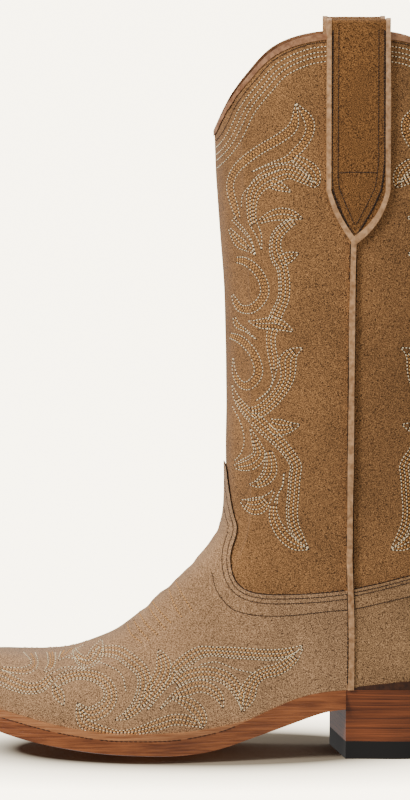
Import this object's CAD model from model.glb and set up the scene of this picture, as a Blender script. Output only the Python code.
import math

import bpy
import numpy as np
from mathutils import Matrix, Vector, noise
from mathutils.bvhtree import BVHTree


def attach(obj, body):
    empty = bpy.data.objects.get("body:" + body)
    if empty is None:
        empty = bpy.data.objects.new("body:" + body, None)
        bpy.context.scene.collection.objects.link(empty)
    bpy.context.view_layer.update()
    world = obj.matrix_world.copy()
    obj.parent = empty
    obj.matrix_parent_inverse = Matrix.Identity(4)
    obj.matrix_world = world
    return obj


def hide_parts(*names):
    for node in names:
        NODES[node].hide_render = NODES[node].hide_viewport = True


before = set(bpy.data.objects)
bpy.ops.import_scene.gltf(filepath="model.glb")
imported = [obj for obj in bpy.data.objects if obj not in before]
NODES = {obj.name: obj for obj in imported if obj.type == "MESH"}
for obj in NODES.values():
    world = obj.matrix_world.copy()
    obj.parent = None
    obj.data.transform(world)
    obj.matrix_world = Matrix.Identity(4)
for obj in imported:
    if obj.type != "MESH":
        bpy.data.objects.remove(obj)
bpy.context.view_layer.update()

MM = 0.001

# ---- leather panels: how finely they are cut and how far they move
PANEL_EDGE = 2.4          # longest mesh edge, mm
PANEL_ROUNDS = 4
CREASE_ANGLE = math.radians(42)
SOFT_SIZE, SOFT_HEIGHT = 26.0, 0.35       # broad undulation of the leather, mm
WRINKLE_HEIGHT = 0.45                     # creases across the instep, mm
RIDGE_HEIGHT, RIDGE_PLACE = 0.45, 2.2     # the swelling beside a crease, in creases' depth and half width
MOST_OUTWARD = 0.12                       # no leather moves out further than this, mm
POINT_KEY, NORMAL_KEY, WELD_KEY = 200, 12, 500   # steps per mm, or per unit, at which corners are joined

# line down the middle of the boot, (x, z) in mm, used to tell outwards from inwards
CORE = [(78, 365), (78, 250), (76, 120), (58, 78), (20, 52), (-40, 34), (-100, 38), (-140, 44)]

# creases across the instep: middle (x, z), direction along the crease, half width, half length, depth
CREASES = [
    ((-9, 99), (0.75, -0.66), 2.6, 22, 1.0),
    ((-20, 87), (0.72, -0.69), 3.0, 26, 1.2),
    ((-30, 77), (0.66, -0.75), 3.0, 24, 1.0),
    ((8, 112), (0.80, -0.60), 2.4, 14, 0.7),
    ((66, 100), (0.98, 0.20), 5.0, 34, 0.5),
]

# ---- stitching, mm
STITCH_PITCH = 1.8
STITCH_GAP = 0.60
THREAD_RADIUS, SEAM_THREAD_RADIUS = 0.27, 0.29
HOLE_RADIUS, HOLE_LIFT, HOLE_SIDES = 0.34, 0.05, 6
ROW_SPACING = 1.2
BAND_FULLNESS = 1.14       # bands are sewn a little wider than drawn
SAMPLE = 0.5
MAX_JUMP = 6.0
RAY_START = 0.2            # rays towards the leather start this far from the middle plane, m
LEAST_FACING = 0.12        # leather turned further away than this is not sewn
SHORTEST_RUN = 4           # points
ROW_MARGIN = 0.6           # outer rows lie this far, both sides together, inside a band's width
CROWDED = 0.5              # inner rows stop where they would be closer than this share of the spacing

SOLID_PITCH, SOLID_OVERLAP = 2.4, 0.5
STRAP_EDGE_SHIFT = 0.5
SHADOW_RADIUS, GROOVE_RADIUS = 0.30, 0.26
PIPING_HALF, PIPING_TOP, UPPER_START, SOLE_TOP = 1.60, 258.0, 86.0, 38.0

# joint of welt and outsole, (x, z)
WELT_JOINT = [
    (-146, 33.4), (-140, 32.0), (-120, 26.9), (-98.6, 22.4), (-73.7, 16.6), (-49.1, 12.6),
    (-29.4, 11.6), (-9.8, 12.0), (9.9, 15.3), (22.7, 19.9),
]

# line of the side seam, (z, x): the pattern repeats in reverse behind it
SEAM = [(0, 74.6), (30, 74.8), (70, 75.0), (100, 74.2), (200, 74.7), (256, 75.4), (300, 77.4), (385, 77.7)]

RIM_LINE = [
    (-8, 296), (6.5, 311.5), (15, 328.2), (24.7, 340.8), (34.6, 351.2), (49, 358.2), (62, 360.6),
    (77.7, 361.2), (93.4, 360.6), (107, 357.6), (121, 350), (131, 341), (139.5, 330), (147, 318),
    (160, 304),
]
RIM_ROWS = [6.2, 8.7, 10.8, 13.6]
RIM_HOLD_ROW = 4.0

VAMP_LINE = [
    (6, 148.0), (12.2, 145.9), (13.4, 140.1), (14.4, 133.3), (15.5, 126.5), (16.9, 120.5),
    (18.2, 115.6), (17.6, 110.6), (15.9, 105.4), (15.0, 99.3), (15.8, 93.0), (18.2, 87.8),
    (22.9, 84.2), (31.1, 82.4), (44, 82.4), (60, 83.5), (74, 85.2),
]
COUNTER_LINE = [(75.6, 85.4), (90, 88.6), (104, 92.1), (122, 96.2), (150, 99.0)]
VAMP_EDGE_ROWS = [1.7, 4.1]
COUNTER_EDGE_ROWS = [1.4, 3.0]
VAMP_LOW_ROW = [
    (6, 92), (8, 84.5), (12.4, 78.2), (17.8, 74.2), (28.1, 72.2), (43.4, 72.2), (64.1, 74.7), (74, 75.4),
]
COUNTER_LOW_ROW = [(76, 75.7), (103.6, 81.9), (125, 85.5), (146, 87.5)]

# pull strap: one side of its stitching; the other side is the same in reverse
STRAP_ROWS = [
    [(65.2, 362), (65.0, 320), (64.9, 289), (66.6, 280.5), (70.4, 271.5), (75.6, 261.8)],
    [(67.9, 362), (67.8, 320), (67.8, 290), (69.3, 282.5), (72.4, 275.0), (75.8, 267.2)],
]
STRAP_BAR = [(68.6, 292.6), (76, 292.9), (86.8, 292.6)]
STRAP_MIDDLE = [(256, 75.8), (300, 77.6), (385, 77.7)]

# embroidery of the shaft: each stroke is a band with centre (x, z) and width, mm
SHAFT_STROKES = {
    "crest_left": [
        (47.0, 326.5, 0.7), (46.0, 315.5, 4.3), (39.5, 309.5, 4.5), (29.5, 303.5, 4.3),
        (20.5, 296.5, 4.1), (16.0, 290.0, 3.6), (15.0, 283.5, 3.5), (17.0, 275.5, 3.4),
        (19.0, 269.0, 2.1),
    ],
    "crest_right": [
        (47.0, 326.5, 0.7), (53.0, 319.0, 4.2), (54.0, 313.5, 4.1), (51.5, 307.5, 3.9),
        (47.0, 302.5, 3.9), (43.0, 299.0, 3.2), (34.0, 296.5, 1.0), (25.5, 292.5, 0.7),
    ],
    "wing": [
        (46.0, 299.5, 3.5), (51.0, 296.5, 5.6), (55.5, 292.5, 6.3), (56.5, 287.5, 4.2),
        (55.0, 285.5, 1.1),
    ],
    "wing_arm": [
        (56.0, 286.5, 2.8), (50.5, 290.0, 4.9), (43.5, 293.0, 6.3), (36.5, 291.0, 7.7),
        (29.5, 286.5, 7.0), (26.0, 280.5, 5.6), (25.5, 273.5, 4.2), (26.0, 268.0, 3.9),
        (29.0, 261.5, 2.8), (30.5, 254.0, 0.6),
    ],
    "outer_line": [
        (39.5, 294.0, 0.7), (29.5, 290.0, 0.7), (24.0, 285.0, 0.7), (21.0, 280.5, 0.7),
        (20.5, 274.5, 0.7),
    ],
    "wing_leaf": [
        (34.5, 287.5, 4.9), (39.5, 285.5, 4.2), (45.0, 283.0, 0.7),
    ],
    "leaf_top": [
        (29.5, 268.0, 2.1), (34.0, 270.5, 4.2), (39.5, 272.0, 5.6), (45.0, 271.5, 4.9),
        (50.5, 270.0, 0.7),
    ],
    "leaf_stem": [
        (46.0, 269.0, 3.5), (41.5, 265.5, 4.6), (38.0, 261.5, 4.9), (37.0, 255.5, 5.3),
        (38.5, 250.0, 6.3), (40.5, 245.5, 4.9), (41.5, 239.0, 5.1), (41.5, 232.5, 5.1),
        (40.5, 228.5, 5.1), (38.0, 223.0, 5.3), (36.0, 218.0, 5.6),
    ],
    "leaf_side": [
        (40.0, 249.0, 4.9), (44.0, 251.0, 4.9), (48.5, 253.0, 0.7),
    ],
    "blob_left": [
        (14.5, 264.0, 1.4), (18.0, 259.0, 4.2), (20.5, 256.5, 4.9), (25.0, 253.5, 1.8),
        (27.5, 251.5, 0.6),
    ],
    "line_left": [
        (16.0, 269.0, 1.8), (20.5, 264.5, 1.8), (25.0, 259.0, 1.1), (27.5, 251.5, 0.6),
    ],
    "scroll_top": [
        (18.0, 248.5, 2.8), (22.5, 248.0, 3.9), (27.5, 244.5, 4.1), (31.0, 239.0, 4.1),
        (32.0, 233.0, 4.1), (29.5, 228.0, 4.1), (25.0, 224.5, 4.1), (20.0, 224.5, 3.5),
        (17.5, 228.0, 2.8), (16.0, 231.5, 0.8),
    ],
    "barb": [
        (24.0, 218.5, 0.6), (29.5, 217.5, 4.2), (36.5, 218.0, 5.6), (41.5, 216.5, 4.2),
        (46.0, 214.0, 0.7),
    ],
    "barb_stem": [
        (36.0, 215.5, 4.9), (35.0, 210.5, 4.2), (35.5, 204.5, 4.2), (36.5, 199.0, 4.2),
        (36.5, 193.0, 2.1), (36.0, 189.0, 0.8), (34.0, 184.5, 0.7), (31.0, 181.5, 0.7),
        (27.5, 179.0, 0.6),
    ],
    "flame": [
        (50.5, 206.0, 0.7), (46.5, 204.0, 4.2), (43.5, 200.0, 7.7), (43.5, 195.5, 7.0),
        (43.0, 190.5, 6.0), (39.5, 184.0, 5.6), (35.0, 178.5, 5.6), (29.5, 174.0, 5.6),
        (25.0, 173.5, 4.2),
    ],
    "scroll_low": [
        (15.0, 210.5, 2.8), (20.0, 209.0, 3.9), (25.0, 204.5, 4.1), (28.0, 199.0, 4.1),
        (29.0, 193.0, 4.1), (26.5, 188.5, 4.1), (23.0, 186.0, 3.9), (19.5, 187.5, 3.2),
        (17.0, 192.5, 2.1), (16.5, 200.0, 0.7),
    ],
    "tick": [
        (17.0, 220.0, 1.4), (18.5, 216.0, 2.8), (23.0, 213.5, 1.4), (28.0, 209.5, 0.6),
    ],
    "sweep": [
        (16.0, 186.0, 0.7), (18.5, 179.0, 3.2), (24.0, 172.5, 4.9), (31.0, 166.5, 6.3),
        (38.0, 160.0, 5.6), (43.5, 154.0, 5.1), (47.5, 147.5, 5.1), (47.0, 143.5, 5.2),
        (46.5, 137.5, 5.2), (46.0, 131.0, 5.2), (45.5, 124.0, 5.2), (46.5, 117.0, 5.1),
        (49.5, 111.0, 4.2), (54.0, 105.5, 0.6),
    ],
    "dart": [
        (34.0, 169.0, 3.5), (38.0, 166.5, 7.7), (43.5, 166.5, 5.6), (49.5, 168.0, 0.7),
    ],
    "left_leaf": [
        (25.0, 165.0, 0.8), (27.5, 159.0, 3.5), (29.5, 152.5, 5.6), (25.5, 148.0, 6.3),
        (20.5, 146.0, 4.9), (17.0, 145.0, 1.4),
    ],
    "left_line": [
        (16.0, 175.5, 1.1), (20.0, 168.0, 1.3), (22.0, 159.5, 1.3), (20.5, 152.5, 1.3),
        (17.0, 148.0, 1.3),
    ],
    "tuft": [
        (34.0, 154.0, 3.5), (35.0, 148.0, 5.6), (34.0, 142.5, 6.3), (29.5, 138.0, 4.2),
        (24.5, 137.0, 0.8),
    ],
    "tuft_low": [
        (36.5, 134.5, 1.4), (34.0, 131.0, 3.5), (29.5, 127.0, 7.7), (25.0, 126.5, 7.0),
        (20.0, 128.5, 1.1),
    ],
    "needle": [
        (41.5, 143.5, 0.8), (41.0, 137.5, 0.7), (38.5, 132.5, 0.7), (37.5, 127.5, 2.1),
    ],
    "hook": [
        (36.5, 127.0, 2.8), (36.5, 122.0, 4.2), (38.5, 116.5, 5.1), (42.5, 111.0, 5.5),
        (48.0, 107.5, 4.9), (54.0, 105.5, 0.6),
    ],
}

# embroidery of the vamp, and the rows of stitches across the instep
VAMP_STROKES = {
    "toe_curl": [
        (-115.0, 47.5, 0.5), (-107.0, 51.5, 2.2), (-98.5, 53.5, 3.0), (-93.0, 54.0, 3.2),
        (-87.0, 52.5, 3.4), (-83.0, 49.5, 3.4), (-82.5, 46.5, 3.4), (-86.5, 44.5, 3.0),
        (-92.5, 44.5, 2.6), (-98.5, 45.0, 2.0),
    ],
    "toe_band": [
        (-126.0, 45.5, 0.5), (-118.0, 43.5, 3.6), (-108.0, 42.5, 5.6), (-98.5, 41.0, 6.6),
        (-92.5, 38.5, 6.0), (-85.5, 36.5, 4.8), (-78.5, 37.5, 4.6), (-74.0, 41.5, 3.4),
        (-68.0, 45.0, 2.0), (-62.0, 46.0, 1.0), (-56.5, 45.5, 0.8),
    ],
    "toe_drop": [
        (-72.5, 38.5, 1.4), (-70.5, 35.0, 5.0), (-68.5, 31.5, 3.4), (-67.5, 29.0, 0.8),
    ],
    "ring": [
        (-72.0, 38.0, 1.4), (-68.0, 40.5, 3.8), (-63.0, 42.5, 3.8), (-56.0, 43.0, 4.2),
        (-49.0, 41.0, 5.0), (-45.0, 37.0, 5.6), (-44.5, 31.5, 6.0), (-48.5, 27.0, 6.6),
        (-55.0, 25.0, 6.0), (-60.5, 30.0, 1.0),
    ],
    "low_wave": [
        (-60.5, 30.0, 1.0), (-59.0, 24.0, 4.4), (-56.0, 19.5, 5.4), (-48.0, 17.0, 3.6),
        (-39.5, 15.5, 2.6), (-30.5, 16.5, 3.4), (-21.5, 19.0, 5.0), (-13.0, 21.5, 5.0),
        (-5.0, 20.5, 4.6), (1.5, 17.5, 1.0),
    ],
    "crescent": [
        (-79.0, 53.5, 1.0), (-74.5, 51.5, 3.8), (-74.0, 47.0, 3.4), (-77.5, 44.0, 0.8),
    ],
    "arch_small": [
        (-70.5, 49.0, 1.0), (-66.5, 52.5, 4.4), (-61.5, 55.0, 3.2), (-55.0, 56.5, 0.8),
    ],
    "hook_small": [
        (-63.5, 54.0, 1.0), (-60.5, 50.0, 4.0), (-55.5, 48.5, 4.8), (-51.0, 53.0, 6.0),
        (-49.0, 58.0, 0.8),
    ],
    "big_arc": [
        (-54.0, 52.5, 1.2), (-47.5, 53.5, 4.0), (-40.5, 53.0, 5.4), (-34.5, 49.5, 6.0),
        (-29.5, 45.5, 6.0), (-27.5, 40.5, 6.0), (-28.0, 34.5, 6.6), (-31.0, 28.5, 5.6),
        (-36.5, 24.0, 3.6), (-42.0, 22.0, 0.8),
    ],
    "arc_line": [
        (-66.0, 50.0, 0.8), (-57.5, 49.5, 0.8), (-49.5, 48.5, 0.8), (-42.5, 46.0, 0.8),
        (-38.5, 42.5, 0.8), (-36.5, 35.0, 0.8),
    ],
    "stem": [
        (-20.5, 54.5, 1.0), (-18.5, 50.0, 6.0), (-18.0, 45.5, 6.6), (-21.0, 39.5, 7.0),
        (-26.0, 33.5, 5.2), (-30.5, 27.5, 1.4),
    ],
    "stem_line": [
        (-12.0, 45.5, 1.0), (-14.5, 40.5, 2.6), (-19.5, 35.0, 2.2), (-26.0, 26.5, 0.8),
    ],
    "right_top": [
        (-13.0, 45.0, 5.0), (-7.0, 49.5, 5.8), (0.0, 53.5, 5.4), (7.0, 54.0, 4.2), (15.0, 53.5, 5.0),
        (24.5, 53.0, 5.0), (34.5, 52.5, 5.0), (43.5, 53.5, 4.6), (51.0, 57.5, 0.8),
    ],
    "right_low": [
        (51.0, 56.0, 0.8), (46.0, 50.5, 4.6), (39.0, 45.5, 5.4), (31.5, 43.5, 5.0), (26.0, 39.0, 5.8),
        (23.0, 31.5, 7.6), (21.0, 24.5, 1.0),
    ],
    "mid_line": [
        (0.0, 47.5, 0.8), (8.0, 49.0, 0.8), (16.0, 46.0, 0.8), (21.5, 44.5, 0.8), (28.0, 43.5, 0.8),
    ],
    "fan_top": [
        (-13.0, 37.5, 2.6), (-7.5, 41.5, 5.4), (0.0, 43.5, 5.8), (8.0, 43.0, 5.8), (15.0, 39.5, 5.8),
        (19.5, 33.0, 4.6), (21.0, 25.5, 0.8),
    ],
    "fan_mid": [
        (-19.5, 27.0, 0.8), (-13.5, 32.5, 2.6), (-7.0, 35.5, 5.4), (0.0, 37.5, 5.6), (6.0, 35.5, 5.0),
        (10.0, 31.5, 3.6), (11.5, 26.5, 0.8),
    ],
    "fan_low": [
        (-14.0, 32.0, 1.2), (-7.0, 30.0, 4.8), (-1.0, 25.5, 5.6), (1.5, 20.0, 3.6), (0.0, 16.5, 0.8),
    ],
    "wrinkle_1": [
        (-37.0, 67.0, 0.8), (-34.5, 61.5, 0.8), (-28.5, 57.5, 0.8),
    ],
    "wrinkle_2": [
        (-33.0, 67.0, 0.8), (-29.0, 62.5, 0.8), (-25.0, 58.5, 0.8),
    ],
    "wrinkle_3": [
        (-30.5, 70.5, 0.8), (-26.5, 66.0, 0.8), (-21.0, 61.5, 0.8),
    ],
    "wrinkle_4": [
        (-26.5, 75.0, 0.8), (-22.5, 70.0, 0.8), (-17.0, 64.0, 0.8),
    ],
    "wrinkle_5": [
        (-24.0, 76.5, 0.8), (-19.0, 71.5, 0.8), (-14.0, 67.0, 0.8),
    ],
    "wrinkle_6": [
        (-15.5, 82.5, 0.8), (-13.0, 76.5, 0.8), (-9.0, 70.0, 0.8),
    ],
    "wrinkle_7": [
        (-12.5, 87.0, 0.8), (-8.5, 80.5, 0.8), (-3.5, 73.0, 0.8),
    ],
}


# ------------------------------------------------------------------ materials
MIDDLE_SHARE = 0.42      # the middle fibre colour, as a share of the dark and light ones added up


def shader(name):
    material = bpy.data.materials.new(name)
    material.use_nodes = True
    tree = material.node_tree
    tree.nodes.clear()
    output = tree.nodes.new("ShaderNodeOutputMaterial")
    principled = tree.nodes.new("ShaderNodeBsdfPrincipled")
    tree.links.new(principled.outputs[0], output.inputs["Surface"])
    return material, tree, principled


def colour(r, g, b):
    """Linear colour from 0-255 display values."""
    return tuple(((c / 255 + 0.055) / 1.055) ** 2.4 if c > 10 else c / 255 / 12.92
                 for c in (r, g, b)) + (1,)


def place(tree, stretch=(1, 1, 1)):
    source = tree.nodes.new("ShaderNodeTexCoord")
    mapping = tree.nodes.new("ShaderNodeMapping")
    mapping.inputs["Scale"].default_value = stretch
    tree.links.new(source.outputs["Object"], mapping.inputs["Vector"])
    return mapping.outputs["Vector"]


def speckle(tree, where, scale, detail=2.0, rough=0.6):
    node = tree.nodes.new("ShaderNodeTexNoise")
    node.inputs["Scale"].default_value = scale
    node.inputs["Detail"].default_value = detail
    node.inputs["Roughness"].default_value = rough
    tree.links.new(where, node.inputs["Vector"])
    return node.outputs["Fac"]


def ramp(tree, value, stops):
    node = tree.nodes.new("ShaderNodeValToRGB")
    while len(node.color_ramp.elements) < len(stops):
        node.color_ramp.elements.new(0.5)
    for element, (position, shade) in zip(node.color_ramp.elements, stops):
        element.position = position
        element.color = shade
    tree.links.new(value, node.inputs["Fac"])
    return node.outputs["Color"]


def mix(tree, factor, a, b, kind="MIX"):
    node = tree.nodes.new("ShaderNodeMix")
    node.data_type = "RGBA"
    node.blend_type = kind
    for socket, value in (("Factor", factor), ("A", a), ("B", b)):
        target = [s for s in node.inputs if s.name == socket and s.enabled][0]
        if isinstance(value, bpy.types.NodeSocket):
            tree.links.new(value, target)
        else:
            target.default_value = value
    return [s for s in node.outputs if s.enabled][0]


def bump(tree, principled, height, strength, distance):
    node = tree.nodes.new("ShaderNodeBump")
    node.inputs["Strength"].default_value = strength
    node.inputs["Distance"].default_value = distance
    tree.links.new(height, node.inputs["Height"])
    tree.links.new(node.outputs["Normal"], principled.inputs["Normal"])


def suede(name, dark, light, sheen=0.35, grain=2300.0, tall=0.0006):
    """Napped leather: fine light and dark fibres over soft cloudy patches."""
    material, tree, principled = shader(name)
    where = place(tree)
    fine = speckle(tree, where, grain, 2.0, 0.7)
    cloud = speckle(tree, where, 34.0, 3.0, 0.55)
    middle = tuple(MIDDLE_SHARE * (a + b) for a, b in zip(dark[:3], light[:3])) + (1,)
    fibres = ramp(tree, fine, [(0.37, dark), (0.49, middle), (0.64, light)])
    patches = ramp(tree, cloud, [(0.30, (0.80, 0.79, 0.78, 1)), (0.70, (1.10, 1.09, 1.08, 1))])
    base = mix(tree, 1.0, fibres, patches, "MULTIPLY")
    tree.links.new(base, principled.inputs["Base Color"])
    principled.inputs["Roughness"].default_value = 0.95
    principled.inputs["Specular IOR Level"].default_value = 0.12
    principled.inputs["Sheen Weight"].default_value = sheen
    principled.inputs["Sheen Roughness"].default_value = 0.55
    bump(tree, principled, fine, 0.55, tall)
    return material


def smooth_leather(name, dark, light, rough=0.5, stretch=(1, 1, 1), grain=420.0, height=0.0003, coat=0.0):
    material, tree, principled = shader(name)
    where = place(tree, stretch)
    pores = speckle(tree, where, grain, 4.0, 0.6)
    cloud = speckle(tree, place(tree), 30.0, 2.0, 0.5)
    base = mix(tree, 0.3, ramp(tree, pores, [(0.36, dark), (0.64, light)]),
               ramp(tree, cloud, [(0.30, dark), (0.70, light)]))
    tree.links.new(base, principled.inputs["Base Color"])
    principled.inputs["Roughness"].default_value = rough
    principled.inputs["Specular IOR Level"].default_value = 0.35
    principled.inputs["Coat Weight"].default_value = coat
    bump(tree, principled, pores, 0.5, height)
    return material


def plain(name, shade, rough, metallic=0.0, grain=700.0, spread=0.12):
    material, tree, principled = shader(name)
    pores = speckle(tree, place(tree), grain, 3.0, 0.6)
    low = tuple(c * (1 - spread) for c in shade[:3]) + (1,)
    high = tuple(min(1, c * (1 + spread)) for c in shade[:3]) + (1,)
    tree.links.new(ramp(tree, pores, [(0.3, low), (0.7, high)]), principled.inputs["Base Color"])
    principled.inputs["Roughness"].default_value = rough
    principled.inputs["Metallic"].default_value = metallic
    bump(tree, principled, pores, 0.25, 0.0002)
    return material


SHAFT_SUEDE = suede("shaft_suede", colour(42, 24, 10), colour(188, 138, 88), sheen=0.14)
VAMP_SUEDE = suede("vamp_suede", colour(68, 45, 26), colour(216, 172, 128), sheen=0.18)
COUNTER_SUEDE = suede("counter_suede", colour(62, 40, 21), colour(208, 164, 118), sheen=0.16)
STRAP_SUEDE = suede("strap_suede", colour(38, 20, 7), colour(168, 118, 68), sheen=0.10)
PIPING = smooth_leather("piping", colour(140, 100, 64), colour(208, 164, 120), rough=0.38, coat=0.3)
BINDING = smooth_leather("binding", colour(112, 70, 42), colour(176, 128, 90), rough=0.5, coat=0.1)
LINING = smooth_leather("lining", colour(196, 160, 122), colour(222, 192, 156), rough=0.62)
SOLE_EDGE = smooth_leather("sole_edge", colour(92, 44, 18), colour(164, 98, 54), rough=0.40,
                           stretch=(0.12, 0.12, 2.4), grain=420.0, height=0.0006, coat=0.3)
WELT_EDGE = smooth_leather("welt_edge", colour(128, 74, 38), colour(192, 132, 86), rough=0.40,
                           stretch=(0.12, 0.12, 2.4), grain=420.0, height=0.0006, coat=0.3)
STACKED = smooth_leather("stacked_leather", colour(46, 17, 7), colour(150, 82, 44), rough=0.42,
                         stretch=(0.05, 0.05, 3.4), grain=420.0, height=0.0006, coat=0.25)
RAND = smooth_leather("rand_leather", colour(38, 18, 6), colour(76, 42, 20), rough=0.55)
INSOLE = smooth_leather("insole_leather", colour(170, 130, 92), colour(206, 168, 128), rough=0.7)
RUBBER = plain("rubber", colour(8, 5, 3), 0.6)
BRASS = plain("brass", colour(176, 138, 70), 0.35, 1.0, spread=0.05)
STEEL = plain("steel", colour(150, 150, 150), 0.35, 1.0, spread=0.05)
PEG_WOOD = plain("peg_wood", colour(62, 38, 22), 0.7)
CORK = plain("cork", colour(168, 126, 84), 0.9, spread=0.3)
STIFFENER = plain("stiffener", colour(214, 206, 190), 0.8)
BACKER = plain("backer_cloth", colour(222, 216, 202), 0.9)
CREAM_THREAD = plain("cream_thread", colour(255, 232, 194), 0.5, grain=2500.0)
GOLD_THREAD = plain("gold_thread", colour(236, 172, 92), 0.5, grain=2500.0)
TAN_THREAD = plain("tan_thread", colour(44, 24, 10), 0.6, grain=2500.0)
NEEDLE_HOLE = plain("needle_hole", colour(26, 13, 5), 0.95)

HARD_FINISH = {
    "cork_filler": CORK, "footbed": LINING, "heel_nails": BRASS, "heel_seat_rand": RAND,
    "heel_stiffener": STIFFENER, "insole": INSOLE, "outsole": SOLE_EDGE, "shank": STEEL,
    "shank_pegs": PEG_WOOD, "toe_puff": STIFFENER, "top_lift": RUBBER, "vamp_backer": BACKER,
    "welt": WELT_EDGE,
}
HARD_FINISH.update({f"heel_lift_{i}": STACKED for i in range(1, 7)})

# panel name: finish, material slot
PANELS = {
    "shaft_front": (SHAFT_SUEDE, "suede"), "shaft_back": (SHAFT_SUEDE, "suede"),
    "vamp": (VAMP_SUEDE, "suede"), "counter_cover": (COUNTER_SUEDE, "suede"),
    "pull_strap_outer": (STRAP_SUEDE, "suede"), "pull_strap_inner": (STRAP_SUEDE, "suede"),
    "shaft_lining_front": (LINING, "lining"), "shaft_lining_back": (LINING, "lining"),
    "vamp_lining": (LINING, "lining"), "heel_lining": (LINING, "lining"),
    "rim_binding": (BINDING, "binding"),
    "side_piping_outer": (PIPING, "piping"), "side_piping_inner": (PIPING, "piping"),
    "strap_piping_outer": (PIPING, "piping"), "strap_piping_inner": (PIPING, "piping"),
}


# ------------------------------------------------------------------ leather panels
def node_arrays(node):
    """Corner points, normals and triangles of a node, joined only where both point and normal agree."""
    mesh = NODES[node].data
    mesh.calc_loop_triangles()
    loops = np.empty(len(mesh.loops), int)
    mesh.loops.foreach_get("vertex_index", loops)
    points = np.empty(len(mesh.vertices) * 3)
    mesh.vertices.foreach_get("co", points)
    points = points.reshape(-1, 3)[loops] / MM
    normals = np.empty(len(mesh.loops) * 3, np.float32)
    mesh.corner_normals.foreach_get("vector", normals)
    normals = normals.reshape(-1, 3).astype(float)
    corners = np.empty(len(mesh.loop_triangles) * 3, int)
    mesh.loop_triangles.foreach_get("loops", corners)
    key = np.round(np.hstack([points * POINT_KEY, normals * NORMAL_KEY])).astype(int)
    first, back = np.unique(key, axis=0, return_index=True, return_inverse=True)[1:]
    return points[first], normals[first], back.reshape(-1)[corners].reshape(-1, 3)


def refine(points, normals, triangles, longest, rounds):
    """Halves every long edge; midpoints bow out to follow the normals, except along a boundary."""
    for _ in range(rounds):
        pairs = np.sort(np.vstack([triangles[:, [0, 1]], triangles[:, [1, 2]], triangles[:, [2, 0]]]), axis=1)
        edges, back, count = np.unique(pairs, axis=0, return_inverse=True, return_counts=True)
        a, b = edges[:, 0], edges[:, 1]
        reach = np.linalg.norm(points[a] - points[b], axis=1)
        split = reach > longest
        if not split.any():
            break
        a, b, inner = a[split], b[split], (count[split] > 1)[:, None]
        middle = (points[a] + points[b]) / 2
        lift_a = normals[a] * np.sum((middle - points[a]) * normals[a], axis=1)[:, None]
        lift_b = normals[b] * np.sum((middle - points[b]) * normals[b], axis=1)[:, None]
        middle = middle - np.where(inner, (lift_a + lift_b) / 4, 0)
        facing = normals[a] + normals[b]
        facing /= np.maximum(np.linalg.norm(facing, axis=1), 1e-9)[:, None]
        number = np.full(len(edges), -1)
        number[split] = len(points) + np.arange(split.sum())
        points, normals = np.vstack([points, middle]), np.vstack([normals, facing])
        m = number[back.reshape(-1)].reshape(3, -1).T
        triangles = split_triangles(triangles, m)
    return points, normals, triangles


def split_triangles(t, m):
    """t: corners, m: new point on edges 01, 12, 20 or -1."""
    out = []
    cut = m >= 0
    total = cut.sum(axis=1)
    out.append(t[total == 0])
    for turn in range(3):
        i, j, k = turn, (turn + 1) % 3, (turn + 2) % 3
        one = (total == 1) & cut[:, i]
        q, n = t[one], m[one]
        out += [np.c_[q[:, i], n[:, i], q[:, k]], np.c_[n[:, i], q[:, j], q[:, k]]]
        two = (total == 2) & ~cut[:, i]
        q, n = t[two], m[two]
        out += [np.c_[q[:, i], q[:, j], n[:, j]], np.c_[q[:, i], n[:, j], n[:, k]],
                np.c_[n[:, j], q[:, k], n[:, k]]]
    q, n = t[total == 3], m[total == 3]
    out += [np.c_[q[:, 0], n[:, 0], n[:, 2]], np.c_[n[:, 0], q[:, 1], n[:, 1]],
            np.c_[n[:, 2], n[:, 1], q[:, 2]], np.c_[n[:, 0], n[:, 1], n[:, 2]]]
    return np.vstack(out)


def weld(points, triangles):
    key = np.round(points * WELD_KEY).astype(int)
    first, back = np.unique(key, axis=0, return_index=True, return_inverse=True)[1:]
    triangles = back.reshape(-1)[triangles]
    whole = ((triangles[:, 0] != triangles[:, 1]) & (triangles[:, 1] != triangles[:, 2])
             & (triangles[:, 2] != triangles[:, 0]))
    return points[first], triangles[whole]


def vertex_normals(points, triangles):
    a, b, c = (points[triangles[:, i]] for i in range(3))
    face = np.cross(b - a, c - a)
    total = np.zeros_like(points)
    for i in range(3):
        np.add.at(total, triangles[:, i], face)
    return total / np.maximum(np.linalg.norm(total, axis=1), 1e-9)[:, None]


def outward(points):
    """Unit vectors from the boot's core line to each point."""
    best = np.full(len(points), 1e9)
    away = np.zeros_like(points)
    for (x1, z1), (x2, z2) in zip(CORE, CORE[1:]):
        start, run = np.array([x1, 0, z1]), np.array([x2 - x1, 0, z2 - z1], float)
        t = np.clip((points - start) @ run / (run @ run), 0, 1)
        offset = points - (start + t[:, None] * run)
        reach = np.linalg.norm(offset, axis=1)
        near = reach < best
        best[near], away[near] = reach[near], offset[near]
    return away / np.maximum(best, 1e-9)[:, None]


def soften(points):
    """How far the leather has moved outwards at each point, mm: broad waves and a few creases."""
    waves = np.array([noise.noise(Vector(p) / SOFT_SIZE) for p in points])
    move = SOFT_HEIGHT * waves
    for (cx, cz), (dx, dz), half_width, half_length, depth in CREASES:
        along = (points[:, 0] - cx) * dx + (points[:, 2] - cz) * dz
        across = (points[:, 0] - cx) * -dz + (points[:, 2] - cz) * dx
        fade = np.exp(-(along / half_length) ** 2)
        valley = np.exp(-(across / half_width) ** 2)
        ridge = np.exp(-((np.abs(across) - RIDGE_PLACE * half_width) / half_width) ** 2)
        move += WRINKLE_HEIGHT * depth * fade * (RIDGE_HEIGHT * ridge - valley)
    return np.minimum(move, MOST_OUTWARD)


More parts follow.
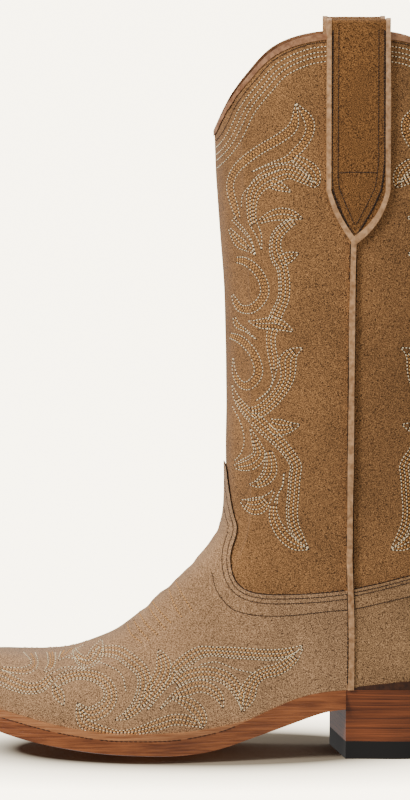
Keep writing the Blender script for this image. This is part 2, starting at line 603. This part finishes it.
def mesh_object(name, points, faces, material, crease=CREASE_ANGLE):
    mesh = bpy.data.meshes.new(name)
    mesh.from_pydata((np.asarray(points) * MM).tolist(), [], faces)
    mesh.validate()
    mesh.shade_smooth()
    mesh.set_sharp_from_angle(angle=crease)
    mesh.materials.append(material)
    made = bpy.data.objects.new(name, mesh)
    bpy.context.scene.collection.objects.link(made)
    return made


def make_panel(node, material):
    points, normals, triangles = node_arrays(node)
    points, normals, triangles = refine(points, normals, triangles, PANEL_EDGE, PANEL_ROUNDS)
    points, triangles = weld(points, triangles)
    facing = vertex_normals(points, triangles)
    away = outward(points)
    side = np.sign(np.sum(facing * away, axis=1))[:, None]
    points = points + facing * side * soften(points)[:, None]
    made = mesh_object(f"{node}_leather", points, triangles.tolist(), material)
    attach(made, "root")
    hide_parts(node)
    tree = BVHTree.FromPolygons((points * MM).tolist(), triangles.tolist())
    return tree


def solid_tree(*nodes):
    points, triangles = [], []
    for node in nodes:
        p, _, t = node_arrays(node)
        triangles += (t + len(points)).tolist()
        points += (p * MM).tolist()
    return BVHTree.FromPolygons(points, triangles)


# ------------------------------------------------------------------ stitching
def interpolate(table, value):
    return float(np.interp(value, [r[0] for r in table], [r[1] for r in table]))


def smooth_line(points, step=0.8):
    """A round curve through the points: Catmull-Rom, sampled about every step mm."""
    p = np.array(points, float)
    p = np.vstack([2 * p[0] - p[1], p, 2 * p[-1] - p[-2]])
    out = []
    for i in range(1, len(p) - 2):
        count = max(2, int(np.linalg.norm(p[i + 1][:2] - p[i][:2]) / step))
        for t in np.linspace(0, 1, count, endpoint=False):
            a = 2 * p[i] + (p[i + 1] - p[i - 1]) * t
            b = (2 * p[i - 1] - 5 * p[i] + 4 * p[i + 1] - p[i + 2]) * t * t
            c = (3 * p[i] - p[i - 1] - 3 * p[i + 1] + p[i + 2]) * t ** 3
            out.append((a + b + c) / 2)
    out.append(p[-2])
    return np.array(out)


def sideways(line, distance):
    """The line moved to its right by the distance, a number or one per point."""
    run = np.gradient(line[:, :2], axis=0)
    run /= np.maximum(np.linalg.norm(run, axis=1), 1e-9)[:, None]
    right = np.c_[run[:, 1], -run[:, 0]]
    return line[:, :2] + right * np.asarray(distance).reshape(-1, 1)


def drop_on(tree, line, side):
    """3-D points in mm where a side-view line meets the leather, seen from one side; gaps split it."""
    runs, run = [], []
    for x, z in line:
        start = Vector((x * MM, side * RAY_START, z * MM))
        hit, normal, _, _ = tree.ray_cast(start, Vector((0, -side, 0)))
        good = hit is not None and hit.y * side > 0.0 and abs(normal.y) > LEAST_FACING
        if good and run and (hit / MM - run[-1][0]).length > MAX_JUMP:
            good = False
        if good:
            run.append((hit / MM, normal if normal.y * side > 0 else -normal))
        else:
            if len(run) > SHORTEST_RUN:
                runs.append(run)
            run = []
    if len(run) > SHORTEST_RUN:
        runs.append(run)
    return runs


def resample(run, pitch):
    points = np.array([p[:] for p, _ in run])
    normals = np.array([n[:] for _, n in run])
    reach = np.r_[0, np.cumsum(np.linalg.norm(np.diff(points, axis=0), axis=1))]
    count = max(1, round(reach[-1] / pitch))
    at = np.linspace(0, reach[-1], count + 1)
    place_at = np.c_[tuple(np.interp(at, reach, points[:, i]) for i in range(3))]
    face_at = np.c_[tuple(np.interp(at, reach, normals[:, i]) for i in range(3))]
    return place_at, face_at / np.linalg.norm(face_at, axis=1)[:, None]


class Thread:
    """Collects stitches and needle holes, then makes one mesh of each."""

    # along the stitch, width and height, in half lengths and thread radii
    RINGS = [
        (-1.0, 0.0, -0.75), (-0.78, 0.75, -0.35), (0.0, 1.0, 0.35), (0.78, 0.75, -0.35),
        (1.0, 0.0, -0.75),
    ]
    SIDES = 5

    def __init__(self, name, material, slot, radius=THREAD_RADIUS):
        self.name, self.material, self.slot, self.radius = name, material, slot, radius
        self.points, self.faces = [], []

    def stitch(self, a, b, up, gap):
        along = b - a
        length = np.linalg.norm(along)
        if length < 2.2 * gap:
            return
        along = along / length
        across = np.cross(up, along)
        across /= max(np.linalg.norm(across), 1e-9)
        up = np.cross(along, across)
        middle, half, r = (a + b) / 2, (length - gap) / 2, self.radius
        base = len(self.points)
        tip_a = middle - along * half + up * r * self.RINGS[0][2]
        tip_b = middle + along * half + up * r * self.RINGS[-1][2]
        self.points.append(tip_a)
        for t, wide, high in self.RINGS[1:-1]:
            centre = middle + along * half * t + up * r * high
            for i in range(self.SIDES):
                turn = 2 * math.pi * i / self.SIDES
                self.points.append(centre + (across * math.cos(turn) + up * math.sin(turn)) * r * wide)
        self.points.append(tip_b)
        n, rings = self.SIDES, len(self.RINGS) - 2
        last = base + 1 + n * rings
        for i in range(n):
            j = (i + 1) % n
            self.faces.append((base, base + 1 + j, base + 1 + i))
            for k in range(rings - 1):
                p, q = base + 1 + n * k, base + 1 + n * (k + 1)
                self.faces.append((p + i, p + j, q + j, q + i))
            p = base + 1 + n * (rings - 1)
            self.faces.append((last, p + i, p + j))

    def hole(self, at, up, size):
        side = np.cross(up, (0.31, 0.52, 0.79))
        side /= np.linalg.norm(side)
        other = np.cross(up, side)
        base = len(self.points)
        for i in range(HOLE_SIDES):
            turn = 2 * math.pi * i / HOLE_SIDES
            out = side * math.cos(turn) + other * math.sin(turn)
            self.points.append(at + up * HOLE_LIFT + out * size)
        self.faces.append(tuple(range(base, base + HOLE_SIDES)))

    def finish(self):
        if not self.faces:
            return
        made = mesh_object(self.name, self.points, self.faces, self.material, crease=math.pi)
        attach(made, "root")


def sew(tree, line, side, thread, holes, pitch=STITCH_PITCH, gap=STITCH_GAP, hole_size=HOLE_RADIUS):
    for run in drop_on(tree, line, side):
        at, up = resample(run, pitch)
        for i in range(len(at) - 1):
            thread.stitch(at[i], at[i + 1], up[i] + up[i + 1], gap)
        for p, n in zip(at, up):
            holes.hole(p, n, hole_size)


def sew_solid(tree, line, side, thread):
    """An unbroken dark line, as where one layer stands over another."""
    for run in drop_on(tree, line, side):
        at, up = resample(run, SOLID_PITCH)
        for i in range(len(at) - 1):
            thread.stitch(at[i], at[i + 1], up[i] + up[i + 1], -SOLID_OVERLAP)


def sew_band(tree, stroke, side, cream, gold, holes, turned=None):
    """Fills a band with parallel rows; the outer rows are cream, the inner ones mostly gold."""
    line = smooth_line(stroke)
    width = np.maximum(line[:, 2] * BAND_FULLNESS, 0.1)
    rows = max(1, int(round(width.max() / ROW_SPACING)))
    for row in range(rows):
        share = 0.0 if rows == 1 else row / (rows - 1) - 0.5
        path = sideways(line, share * np.maximum(width - ROW_MARGIN, 0))
        keep = np.ones(len(path), bool)
        if 0 < row < rows - 1:
            crowded = width / rows < ROW_SPACING * CROWDED
            keep = ~crowded
        path = densify(path[keep])
        if turned is not None:
            path = mirrored(path, turned)
        edge_row = row in (0, rows - 1)
        sew(tree, path, side, cream if edge_row or row % 2 == 0 and rows > 4 else gold, holes)


def densify(path):
    if len(path) < 2:
        return path
    reach = np.r_[0, np.cumsum(np.linalg.norm(np.diff(path, axis=0), axis=1))]
    at = np.arange(0, reach[-1], SAMPLE)
    return np.c_[np.interp(at, reach, path[:, 0]), np.interp(at, reach, path[:, 1])]


def plain_line(points, shift=0.0):
    return densify(sideways(smooth_line([(x, z, 0) for x, z in points]), shift))


def mirrored(line, table):
    return np.c_[2 * np.array([interpolate(table, z) for z in line[:, 1]]) - line[:, 0], line[:, 1]]


def make_stitching(trees):
    for side, word in ((-1, "outer"), (1, "inner")):
        dark = Thread(f"seam_thread_{word}", TAN_THREAD, "suede", radius=SEAM_THREAD_RADIUS)
        holes = Thread(f"needle_holes_{word}", NEEDLE_HOLE, "suede")
        panels = (("front", trees["shaft_front"], None), ("back", trees["shaft_back"], SEAM))
        for part, tree, turned in panels:
            cream = Thread(f"cream_thread_{part}_{word}", CREAM_THREAD, "piping")
            gold = Thread(f"gold_thread_{part}_{word}", GOLD_THREAD, "piping")
            for stroke in SHAFT_STROKES.values():
                sew_band(tree, stroke, side, cream, gold, holes, turned)
            for offset in RIM_ROWS:
                sew(tree, plain_line(RIM_LINE, offset), side, cream, holes)
            sew(tree, plain_line(RIM_LINE, RIM_HOLD_ROW), side, dark, holes)
            cream.finish()
            gold.finish()
        cream = Thread(f"cream_thread_vamp_{word}", CREAM_THREAD, "piping")
        gold = Thread(f"gold_thread_vamp_{word}", GOLD_THREAD, "piping")
        for name, stroke in VAMP_STROKES.items():
            pair = (gold, gold) if name.startswith("wrinkle") else (cream, gold)
            sew_band(trees["vamp"], stroke, side, *pair, holes)
        cream.finish()
        gold.finish()
        for offset in VAMP_EDGE_ROWS:
            sew(trees["vamp"], plain_line(VAMP_LINE, offset), side, dark, holes)
        for offset in COUNTER_EDGE_ROWS:
            sew(trees["counter_cover"], plain_line(COUNTER_LINE, offset), side, dark, holes)
        sew(trees["vamp"], plain_line(VAMP_LOW_ROW), side, dark, holes)
        sew(trees["counter_cover"], plain_line(COUNTER_LOW_ROW), side, dark, holes)
        strap = trees[f"pull_strap_{word}"]
        for row in STRAP_ROWS:
            line = plain_line(row)
            sew(strap, line, side, dark, holes)
            sew(strap, mirrored(line, STRAP_MIDDLE), side, dark, holes)
        strap_edge = plain_line(STRAP_ROWS[0], STRAP_EDGE_SHIFT)
        sew(strap, plain_line(STRAP_BAR), side, dark, holes)
        groove = Thread(f"seam_shadow_{word}", NEEDLE_HOLE, "suede", radius=SHADOW_RADIUS)
        beside = ((-PIPING_HALF, "shaft_front", "vamp"), (PIPING_HALF, "shaft_back", "counter_cover"))
        for offset, upper, lower in beside:
            for node, low, high in ((upper, UPPER_START, PIPING_TOP), (lower, SOLE_TOP, UPPER_START)):
                levels = np.arange(low, high, SAMPLE)
                line = np.c_[[interpolate(SEAM, z) + offset for z in levels], levels]
                sew_solid(trees[node], line, side, groove)
        sew_solid(strap, strap_edge, side, groove)
        sew_solid(strap, mirrored(strap_edge, STRAP_MIDDLE), side, groove)
        sew_solid(trees["shaft_front"], plain_line(VAMP_LINE, -SHADOW_RADIUS), side, groove)
        sew_solid(trees["shaft_back"], plain_line(COUNTER_LINE, -SHADOW_RADIUS), side, groove)
        groove.finish()
        joint = Thread(f"welt_groove_{word}", RAND, "sole_leather", radius=GROOVE_RADIUS)
        sew_solid(trees["sole"], plain_line(WELT_JOINT), side, joint)
        joint.finish()
        dark.finish()
        holes.finish()



# ------------------------------------------------------------------ build
TREES = {node: make_panel(node, material) for node, (material, slot) in PANELS.items()}
TREES["sole"] = solid_tree("outsole", "welt")
make_stitching(TREES)

for node, material in HARD_FINISH.items():
    NODES[node].data.materials.clear()
    NODES[node].data.materials.append(material)


# ------------------------------------------------------------------ floor, light and camera
FLOOR_GLOW = 7.5
FLOOR_HALF = 400.0
SHADE_CENTRE = (0.0, 0.010, 0.0)      # the floor glows less underneath the boot
SHADE_REACH = (0.240, 0.150, 0.150)
SHADE_STEPS = [(0.0, 1.0), (0.40, 0.45), (0.62, 0.0)]
# name: place, aimed at, size, power, colour
LIGHTS = {
    "key": ((-1.5, -1.1, 1.4), (0.0, 0, 0.18), 0.9, 62, (1.0, 0.955, 0.89)),
    "fill": ((1.2, -2.4, 0.9), (0.05, 0, 0.2), 1.2, 10, (1.0, 0.94, 0.86)),
    "top": ((0.1, 0.3, 2.2), (0.05, 0, 0.1), 1.6, 14, (1.0, 0.98, 0.95)),
}
CAMERA_PLACE, CAMERA_PITCH, CAMERA_LENS = (0.0025, -2.770, 0.400), math.radians(4.601), 250.1


def make_floor():
    """A wide pale floor that fills the picture behind the boot."""
    points = [(x / MM, y / MM, 0) for x, y in ((-1, -1), (1, -1), (1, 1), (-1, 1))]
    points = [tuple(FLOOR_HALF * c for c in p) for p in points]
    faces = [(0, 1, 2, 3)]
    material, tree, principled = shader("floor")
    principled.inputs["Base Color"].default_value = colour(150, 140, 124)
    principled.inputs["Emission Color"].default_value = (1.0, 0.90, 0.70, 1)
    where = tree.nodes.new("ShaderNodeTexCoord")
    under = tree.nodes.new("ShaderNodeMapping")
    under.vector_type = "TEXTURE"
    under.inputs["Location"].default_value = SHADE_CENTRE
    under.inputs["Scale"].default_value = SHADE_REACH
    near = tree.nodes.new("ShaderNodeTexGradient")
    near.gradient_type = "SPHERICAL"
    tree.links.new(where.outputs["Object"], under.inputs["Vector"])
    tree.links.new(under.outputs["Vector"], near.inputs["Vector"])
    glow = ramp(tree, near.outputs["Fac"],
                [(place_at, (FLOOR_GLOW * share,) * 3 + (1,)) for place_at, share in SHADE_STEPS])
    tree.links.new(glow, principled.inputs["Emission Strength"])
    principled.inputs["Roughness"].default_value = 0.9
    principled.inputs["Specular IOR Level"].default_value = 0.1
    made = mesh_object("floor", points, faces, material)
    made.visible_diffuse = False
    made.visible_glossy = False


def make_light(name, place_at, target, size, power, shade):
    lamp = bpy.data.lights.new(name, "AREA")
    lamp.shape, lamp.size, lamp.energy, lamp.color = "DISK", size, power, shade
    made = bpy.data.objects.new(name, lamp)
    made.location = place_at
    made.rotation_euler = (Vector(target) - Vector(place_at)).to_track_quat("-Z", "Y").to_euler()
    bpy.context.scene.collection.objects.link(made)


def make_camera():
    lens = bpy.data.cameras.new("camera")
    lens.lens, lens.sensor_width, lens.sensor_fit = CAMERA_LENS, 36.0, "AUTO"
    lens.clip_end = 900
    made = bpy.data.objects.new("camera", lens)
    made.location = CAMERA_PLACE
    made.rotation_euler = (math.pi / 2 - CAMERA_PITCH, 0, 0)
    bpy.context.scene.collection.objects.link(made)
    bpy.context.scene.camera = made


def make_world():
    world = bpy.data.worlds.new("studio")
    world.use_nodes = True
    background = world.node_tree.nodes["Background"]
    background.inputs["Color"].default_value = (1.0, 0.975, 0.94, 1)
    background.inputs["Strength"].default_value = 0.44
    bpy.context.scene.world = world


make_floor()
for light, facts in LIGHTS.items():
    make_light(light, *facts)
make_camera()
make_world()
